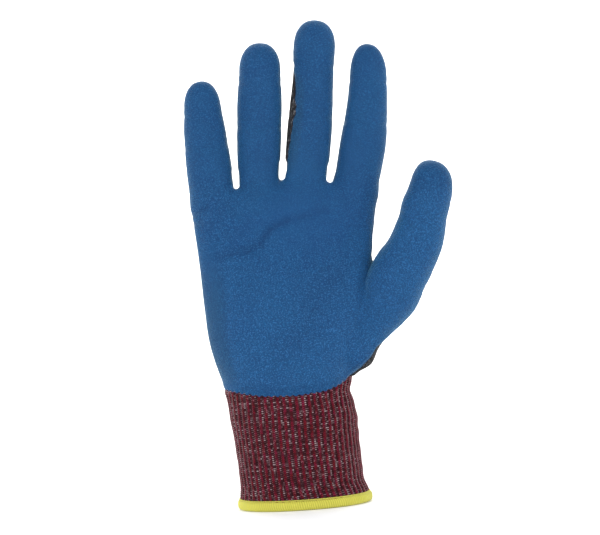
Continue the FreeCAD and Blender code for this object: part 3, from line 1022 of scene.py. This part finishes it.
def region_of(points):
    """The number of the moving stretch of the glove that each point is on (0 is the hand)."""
    distances = limb_distances(points)
    names = list(distances)
    nearest = np.argmin(np.stack(list(distances.values())), axis=0)
    region = np.zeros(len(points), int)
    for finger in FINGERS:
        limb = limbs[finger]
        along = limb.local(points)[0]
        base, centre, tip = (
            (hinge(f"{finger}_{joint}") - limb.start) @ limb.axis for joint in KNUCKLES["finger"]
        )
        on_finger = nearest == names.index(finger)
        bounds = (base + BASE_BEND[0], (base + centre) / 2, (centre + tip) / 2)
        for step, bound in enumerate(bounds):
            region[on_finger & (along > bound)] = regions.index((finger, step))
    on_thumb = np.isin(nearest, [names.index(limb) for limb in THUMB_LIMBS])
    base = limbs["thumb_base"]
    along = base.local(points)[0]
    bounds = (THUMB_BASE_BEND[0], base.length + THUMB_TIP_BEND[0] - THUMB_TIP_EARLY)
    for step, bound in enumerate(bounds):
        region[on_thumb & (along > bound)] = regions.index(("thumb", step))
    return region


def attach(piece, region, slot, *nodes):
    """Stand a piece in for its nodes: hide them and bake the piece's place into its mesh."""
    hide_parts(*nodes)
    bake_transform(piece)


# Height of the coating's wrinkles and of the finer grain on them
WRINKLE, GRAIN = 0.15, 0.11


def outer_side(x, z):
    """How far out towards the little finger's side a place on the palm is: 1 at the very edge."""
    return (palm_middle(z) - x) / palm_half_width(z)


def crinkles(points):
    """Wrinkles of the latex in millimetres, and how strong they are at each point."""
    x, _, z = points.T
    upper_palm = np.exp(-(((x - 6) / 32) ** 2) - ((z - 153) / 22) ** 2)
    palm_beside_ball = smooth_step(92, 118, z) * smooth_step(42, 36, x)
    index_side = smooth_step(30, 36, x) * smooth_step(150, 165, z)
    outer_heel = smooth_step(0.68, 0.86, outer_side(x, z)) * smooth_step(150, 120, z)
    calm = 0.62 * upper_palm + 0.12 * palm_beside_ball + 0.22 * index_side + 0.5 * outer_heel
    calm += 0.30 * smooth_step(165, 175, z) + 0.35 * smooth_step(8, 0, z - lower_edge(x))
    strength = 1 - np.minimum(calm, 0.75)
    low = field_noise(points, 3.0, 7.0)
    high = field_noise(points, 1.5, 19.0)
    wrinkle = 0.5 - np.abs(low + 0.35 * high)
    return strength * (WRINKLE * wrinkle + GRAIN * high), strength


def coat_thinness_and_shade(points, reach):
    """1 where the coating thins at its edges, painted shade down the heel's outer side, less of
    the same darker teal high up.
    """
    x, _, z = points.T
    # painted shade down the heel's outer side
    heel = smooth_step(0.66, 0.84, outer_side(x, z))
    heel *= smooth_step(62, 72, z) * smooth_step(140, 105, z)
    edge = smooth_step(-5.5, -1.0, reach) * smooth_step(2, 9, z - lower_edge(x))
    return np.maximum(np.maximum(edge, 0.8 * heel), 0.22 * smooth_step(135, 175, z))


# Thicknesses: the coating at its very edge, how far it soaks into the knit and presses the
# knit down, and the liner. The coating thickens from its edge over COAT_TAPER.
COAT_RIM, COAT_SOAK, KNIT_PRESSED, LINER_THICK = 0.18, 0.3, 0.12, 1.2
COAT_TAPER = 1.6
EDGE_PULL = 0.6
DARKEST_FOLD = 1.2
RIB_TOP = 65.2
# The mesh is cut off low down inside the cuff, and the coating's edge lies above the cut
MESH_BOTTOM, COAT_BOTTOM = 50, 52


def trimmed_hand():
    """The hand's mesh, with the coating's edge and the liner's hem as clean lines in it.

    Returns points, all squares, which of them are coated and which are knitted, and how far
    each point is inside or outside the coating's edge.
    """
    points, squares = hand_mesh()
    squares = squares[points[squares].mean(1)[:, 2] > MESH_BOTTOM]
    coated = coat_reach(points)[squares].mean(1) < 0
    edge = np.unique(rim_edges(squares[coated]))
    edge = edge[points[edge, 2] > COAT_BOTTOM]
    points[edge] = onto_surface(moved_to_zero(coat_reach, points[edge], EDGE_PULL), 1)
    knitted = points[squares].mean(1)[:, 2] > RIB_TOP
    hem = np.unique(rim_edges(squares[knitted]))
    points[hem, 2] = RIB_TOP
    points[hem] = onto_surface(points[hem], 1)
    points[hem, 2] = RIB_TOP
    reach = coat_reach(points)
    reach[edge] = 0
    return points, squares, coated, knitted, reach


def region_nodes(region):
    """A region's name in its pieces, its knitted CAD nodes and its coating's CAD node."""
    digit, step = region
    if digit == "hand":
        return "hand", ["palm_knit"], "palm_coating"
    kind = "thumb" if digit == "thumb" else "finger"
    name = f"{digit}_{STRETCHES[kind][step]}"
    sleeve = f"{digit}_{KNUCKLES[kind][step]}_knuckle_sleeve"
    return name, [f"{name}_knit", sleeve], f"{name}_coating"


def build_hand():
    """The liner and the coating of each region, as closed layers cut from one mesh."""
    points, squares, coated, knitted, reach = trimmed_hand()
    normals = point_normals(points, squares)
    wrinkle, grain = crinkles(points)
    body = COAT_RIM + (COAT_THICK - COAT_RIM) * smooth_step(0, COAT_TAPER, -reach)
    body += wrinkle * smooth_step(0.2, 2.2, -reach)
    coat_outer = points + normals * body[:, None]
    coat_inner = points - normals * COAT_SOAK
    knit_outer = points - normals * (KNIT_PRESSED * smooth_step(0.0, 1.0, -reach))[:, None]
    knit_inner = points - normals * LINER_THICK

    wale, course = stitch_places(points)
    attributes = {
        "rest": points,
        "grain": grain,
        # darker teal where the coating thins, and painted shade down the heel's outer side
        "thin_and_shade": coat_thinness_and_shade(points, reach),
        # painted shade in the palm's creases, from their depth
        "crease_shade": np.minimum(palm_folds(points), DARKEST_FOLD),
        "stitch": np.stack((wale, course, np.zeros(len(points))), 1),
    }
    coat_squares, knit_squares = squares[coated], squares[knitted]
    coat_normals = point_normals(coat_outer, coat_squares)
    knit_normals = point_normals(knit_outer, knit_squares)
    coat_layer = (coat_outer, coat_inner, coat_normals, attributes, latex)
    knit_layer = (knit_outer, knit_inner, knit_normals, attributes, knit)
    coat_region = region_of(points[coat_squares].mean(1))
    knit_region = region_of(points[knit_squares].mean(1))
    for number, region in enumerate(regions):
        name, knit_nodes, coat_node = region_nodes(region)
        liner = skin_piece(f"{name}_liner", knit_squares[knit_region == number], *knit_layer)
        attach(liner, region, "liner_knit", *knit_nodes)
        coating = skin_piece(f"{name}_latex", coat_squares[coat_region == number], *coat_layer)
        attach(coating, region, "latex_coating", coat_node)


build_hand()

# ---- cuff -------------------------------------------------------------------------

CUFF_LOW, CUFF_HIGH = 1.4, 66.0
CUFF_WALL = 1.9
RIB_COLUMNS = 7
COURSE_STEP = 1.05
ROWS_PER_COURSE = 4
# From this height up the cuff lies on the hand's form and not on the wrist's plain outline
FORM_FROM = 46

# Height of the ribs, of the legs of their stitches and of the bars between the ribs; how far
# the ribs stand out where they are bare, and lie back under the coating and the liner
RIB_RISE, LEG_RISE, BAR_RISE = 0.60, 0.09, 0.15
BARE_RISE, TUCK = 0.3, 0.45

# Soft folds, from x, z to x, z: width and depth
CUFF_FOLDS = (
    (30, 47, 12, 57, 2.6, 0.55),
    (32, 38, 18, 47, 2.4, 0.5),
    (32, 29, 22, 40, 2.4, 0.4),
    (31, 20, 24, 30, 2.2, 0.35),
    (-32, 24, -20, 15, 3.0, 0.3),
)


def ring_points(count, height, turn=0.0):
    """Points around the wrist at one height, evenly spaced along its outline."""
    x, y, length = wrist_outline(height)
    places = (np.arange(count) / count + turn) % 1 * length[-1]
    return np.stack((np.interp(places, length, x), np.interp(places, length, y)), 1)


def grid_squares(rows, columns, closed=False):
    """Squares of a grid that closes on itself around its columns, and around its rows too."""
    steps = rows if closed else rows - 1
    row, column = np.meshgrid(np.arange(steps), np.arange(columns), indexing="ij")
    above, after = (row + 1) % rows, (column + 1) % columns
    corners = (row * columns + column, row * columns + after)
    upper = (above * columns + after, above * columns + column)
    return np.stack((*corners, *upper), -1).reshape(-1, 4)


def cuff_folds(points):
    """Soft folds where the rib gathers at the thumb side, and a slight roll of the rest."""
    x, _, z = points.T
    folds = np.zeros(len(points))
    for x1, z1, x2, z2, width, depth in CUFF_FOLDS:
        folds -= depth * crease(x, z, (x1, z1), (x2, z2), width)
    return folds + 0.35 * field_noise(points, 14.0, 3.0)


def rib_relief(column, course):
    """How far the rib stands out: round wales of leaning legs, and bars in the furrows."""
    phase = column % 1
    rib = 0.5 + 0.5 * np.cos((phase - RIB_CREST) * 2 * math.pi)
    leg = np.sin((course + LEG_SLANT * np.abs(phase - RIB_CREST)) * 2 * math.pi)
    bar = -np.cos(course * 2 * math.pi)
    return RIB_RISE * rib + LEG_RISE * rib * leg + BAR_RISE * (1 - rib) * bar


def rim_faces(fine, coarse):
    """Five-sided faces between a ring of points and one of half as many."""
    steps = np.arange(len(coarse))
    nexts = (steps + 1) % len(coarse)
    return np.stack(
        (fine[2 * steps], fine[2 * steps + 1], fine[2 * nexts], coarse[nexts], coarse[steps]), 1
    )


def build_cuff():
    """The ribbed wrist: a knitted outside, a plainer inside, and a rim at each end."""
    columns = RIBS * RIB_COLUMNS
    rows = int((CUFF_HIGH - CUFF_LOW) / COURSE_STEP * ROWS_PER_COURSE) + 1
    heights = np.linspace(CUFF_LOW, CUFF_HIGH, rows)
    level = np.repeat(heights, columns)
    rings = [ring_points(columns, height, RIB_TWIST(height)) for height in heights]
    points = np.column_stack((np.concatenate(rings), level))
    squares = grid_squares(rows, columns)
    normals = point_normals(points, squares)
    high = level > FORM_FROM
    points[high] = onto_surface(points[high], 2)
    points[~high] -= normals[~high] * COAT_THICK
    points[:, 2] = level
    normals = point_normals(points, squares)

    column = np.tile(np.arange(columns), rows) / RIB_COLUMNS
    course = (level - CUFF_LOW) / COURSE_STEP
    bare = smooth_step(-1.0, 1.8, coat_reach(points))
    bare *= smooth_step(RIB_TOP + 0.5, RIB_TOP - 4, level)
    relief = (0.3 + 0.7 * bare) * rib_relief(column, course)
    relief += bare * (BARE_RISE + cuff_folds(points)) - TUCK * (1 - bare)
    outer = points + normals * relief[:, None]
    inner = points - normals * CUFF_WALL

    every = np.arange(rows * columns).reshape(rows, columns)
    inner_rows = np.append(np.arange(0, rows - 1, 2 * ROWS_PER_COURSE), rows - 1)
    inner_grid = every[inner_rows][:, ::2]
    inner_number = np.arange(inner_grid.size).reshape(inner_grid.shape) + every.size
    inner_squares = grid_squares(*inner_grid.shape) + every.size
    faces = [*squares.tolist(), *inner_squares[:, ::-1].tolist()]
    faces += rim_faces(every[0], inner_number[0])[:, ::-1].tolist()
    faces += rim_faces(every[-1], inner_number[-1]).tolist()
    picked = np.concatenate((every.ravel(), inner_grid.ravel()))
    attributes = {
        "rest": points[picked],
        "stitch": np.stack((column, course, np.zeros(len(points))), 1)[picked],
    }
    outline = np.concatenate((outer, inner[inner_grid.ravel()]))
    piece = new_piece("rib_knit_wrist", outline, faces, None, attributes, rib_knit)
    attach(piece, ("hand", 0), "cuff_knit", "cuff_rib_knit", "wrist_knit_sleeve")


build_cuff()

# ---- hem, needle thread and elastic -----------------------------------------------

# The hem is this high, half this thick, squarer than an ellipse by this power, and its turns
# of thread lean by this much of a turn over half the hem's height
HEM_RISE, HEM_HALF_THICK, HEM_SQUARENESS, TURN_LEAN = 5.2, 2.55, 0.75, 0.55
HEM_TURNS = 168
HEM_COLUMNS = 7
HEM_ROWS = 26

# How far the turns of thread stand out, as a share, and how unevenly they lie and wander
TURN_RISE, HEM_WOBBLE, TURN_DRIFT = 0.035, 0.0192, 0.45

# The needle thread and the elastic yarns: where they lie, and points to a round
NEEDLE_HEIGHT, NEEDLE_STITCHES, NEEDLE_STEPS = 5.3, 84, 900
ELASTIC_ROUNDS, ELASTIC_INSET, ELASTIC_STEPS = 10, 3.0, 520
YARN_RADIUS, YARN_SIDES, STEPS_PER_TURN = 0.3, 8, 4


def ride_cuff(piece, node):
    """Hands a piece over as the cuff's, in place of its CAD node."""
    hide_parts(node)
    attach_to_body(piece, "cuff")


def yarn_piece(name, centres, material, relief=0.0):
    """A closed yarn around a closed line of centres; relief stands its turns proud."""
    along = unit_rows(np.roll(centres, -1, 0) - np.roll(centres, 1, 0))
    out = unit_rows(np.cross(along, (0.0, 0.0, 1.0)))
    rise = np.cross(out, along)
    share = np.arange(YARN_SIDES) / YARN_SIDES
    angles = share * 2 * math.pi
    turn = np.arange(len(centres))[:, None] / STEPS_PER_TURN + share[None]
    size = YARN_RADIUS * (1 + relief * np.cos(turn * 2 * math.pi))
    around = out[:, None] * (np.cos(angles) * size)[..., None]
    around += rise[:, None] * (np.sin(angles) * size)[..., None]
    points = (centres[:, None] + around).reshape(-1, 3)
    squares = grid_squares(len(centres), YARN_SIDES, closed=True)[:, ::-1]
    attributes = {"rest": points, "turn": turn.ravel()}
    return new_piece(name, points, squares, None, attributes, material)


def build_hem():
    """The overlocked edge: a thick soft roll wound with thread, turn beside turn."""
    low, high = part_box("hem_overlock_band")
    columns = HEM_TURNS * HEM_COLUMNS
    ring = ring_points(columns, 0.0)
    wider = (high.x - low.x) / 2 / MM / palm_half_width(0.0)
    outward = unit_rows(ring)
    centre = ring * wider - outward * (HEM_HALF_THICK + 0.15)
    level_ring = np.column_stack((ring, np.zeros(columns)))
    wobble = HEM_WOBBLE * field_noise(level_ring, 9.0, 5.0)
    drift = TURN_DRIFT * field_noise(level_ring, 3.7, 11.0)
    turn = np.arange(columns) / HEM_COLUMNS + drift
    half_rise = HEM_RISE / 2
    points, turns = [], []
    for angle in np.arange(HEM_ROWS) / HEM_ROWS * 2 * math.pi:
        phase = turn + TURN_LEAN * math.sin(angle)
        size = 1 + TURN_RISE * np.cos(phase * 2 * math.pi) + wobble
        thick = squarish(math.cos(angle), HEM_SQUARENESS) * HEM_HALF_THICK * size
        rise = squarish(math.sin(angle), HEM_SQUARENESS) * half_rise * np.minimum(size, 1.0) * 0.99
        flat = centre + outward * thick[:, None]
        points.append(np.column_stack((flat, np.maximum(half_rise + rise, 0.0))))
        turns.append(phase)
    points = np.stack(points, 1).reshape(-1, 3)
    squares = grid_squares(columns, HEM_ROWS, closed=True)[:, ::-1]
    attributes = {"rest": points, "turn": np.stack(turns, 1).ravel()}
    piece = new_piece("overlocked_hem", points, squares, None, attributes, thread)
    ride_cuff(piece, "hem_overlock_band")


def build_needle_thread():
    """Short stitches of the needle thread, along the top of the hem."""
    ring = ring_points(NEEDLE_STEPS, HEM_RISE)
    outward = unit_rows(ring)
    dip = np.cos(np.arange(NEEDLE_STEPS) / NEEDLE_STEPS * NEEDLE_STITCHES * 2 * math.pi)
    flat = ring + outward * (0.30 + 0.22 * dip)[:, None]
    centres = np.column_stack((flat, np.full(NEEDLE_STEPS, NEEDLE_HEIGHT)))
    piece = yarn_piece("needle_thread", centres, thread)
    ride_cuff(piece, "hem_needle_thread")


def build_elastic():
    """Rounds of covered elastic laid into the inside of the ribs."""
    low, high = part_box("cuff_elastic_yarns")
    first, last = low.z / MM + YARN_RADIUS, high.z / MM - YARN_RADIUS
    weave = np.cos(np.arange(ELASTIC_STEPS) / ELASTIC_STEPS * RIBS * 2 * math.pi)
    for number, height in enumerate(np.linspace(first, last, ELASTIC_ROUNDS)):
        ring = ring_points(ELASTIC_STEPS, height)
        outward = unit_rows(ring - (palm_middle(height), 0.0))
        flat = ring - outward * (ELASTIC_INSET + 0.12 * weave)[:, None]
        centres = np.column_stack((flat, height + 0.1 * weave))
        piece = yarn_piece(f"elastic_yarn_{number + 1}", centres, elastic, 0.08)
        ride_cuff(piece, "cuff_elastic_yarns")


build_hem()
build_needle_thread()
build_elastic()

# ---- studio -----------------------------------------------------------------------

CAMERA_AT = Vector((0.0059, -0.9, 0.1229))
CAMERA_ROLL = math.radians(4.0)
LENS = 104.0


def build_camera():
    """A long lens in front of the palm, rolled against the hem."""
    data = bpy.data.cameras.new("camera")
    data.lens, data.sensor_width = LENS, 36.0
    camera = new_object("camera", data)
    sine, cosine = math.sin(CAMERA_ROLL), math.cos(CAMERA_ROLL)
    facing = Matrix(((cosine, sine, 0), (0, 0, -1), (-sine, cosine, 0)))
    camera.matrix_world = Matrix.Translation(CAMERA_AT) @ facing.to_4x4()
    bpy.context.scene.camera = camera


FLOOR_RADIUS, WALL_BEND, WALL_TOP = 3.0, 1.2, 4.0
FLOOR_SEGMENTS, BEND_RINGS = 96, 24


def build_floor():
    """One pale sheet: a floor that curves up into a wall all round, far from the glove."""
    shader = Shader("studio_white", Roughness=0.9, Emission_Strength=0.12)
    shader.surface.inputs["Emission Color"].default_value = (1, 1, 1, 1)
    grain = shader.noise(shader.node("ShaderNodeTexCoord").outputs["Object"], 3.0)
    tone = shader.ramp(grain, (0.0, (0.89, 0.89, 0.89)), (1.0, (0.91, 0.91, 0.91)))
    profile = [(FLOOR_RADIUS * share, 0.0) for share in (0.2, 0.5, 0.8, 1.0)]
    for step in range(1, BEND_RINGS + 1):
        angle = step / BEND_RINGS * math.pi / 2
        away = FLOOR_RADIUS + WALL_BEND * math.sin(angle)
        profile.append((away, WALL_BEND * (1 - math.cos(angle))))
    profile.append((FLOOR_RADIUS + WALL_BEND, WALL_TOP))
    angles = [segment / FLOOR_SEGMENTS * 2 * math.pi for segment in range(FLOOR_SEGMENTS)]
    points = [(0, 0, 0)]
    for away, height in profile:
        points += [(away * math.cos(angle), away * math.sin(angle), height) for angle in angles]
    rings = 1 + grid_squares(len(profile), FLOOR_SEGMENTS)[:, ::-1]
    first_ring = [*range(1, FLOOR_SEGMENTS + 1), 1]
    fan = [(0, start, end) for start, end in zip(first_ring, first_ring[1:])]
    mesh = bpy.data.meshes.new("studio_floor")
    mesh.from_pydata(points, [], fan + rings.tolist())
    mesh.shade_smooth()
    mesh.materials.append(shader.finish(tone))
    new_object("studio_floor", mesh)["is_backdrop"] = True


def add_light(name, place, size, power, target=(0, 0, 0.12)):
    """A square soft light at a place, turned to its target."""
    data = bpy.data.lights.new(name, "AREA")
    data.energy, data.size = power, size
    light = new_object(name, data)
    light.location = place
    way = Vector(target) - Vector(place)
    light.rotation_euler = way.to_track_quat("-Z", "Y").to_euler()


def build_lights():
    """A white surround, a soft light on each side of the palm, and one on the backdrop."""
    world = bpy.data.worlds.new("studio")
    world.use_nodes = True
    background = world.node_tree.nodes["Background"]
    background.inputs["Color"].default_value = (1, 1, 1, 1)
    background.inputs["Strength"].default_value = 0.78
    bpy.context.scene.world = world
    add_light("key", (-2.3, -1.5, 0.8), 1.2, 23)
    add_light("fill", (2.4, -1.4, 0.6), 1.2, 23)
    add_light("backdrop_light", (0.0, 2.3, 2.4), 3.0, 110, (0.0, 2.9, 0.0))


build_camera()
build_floor()
build_lights()
bpy.context.scene.view_settings.view_transform = "Standard"


def corners(box):
    """A box's two corners as plain lists."""
    return [list(corner) for corner in box]


sizes = {"cad": corners(cad_box), "visual": corners(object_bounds())}
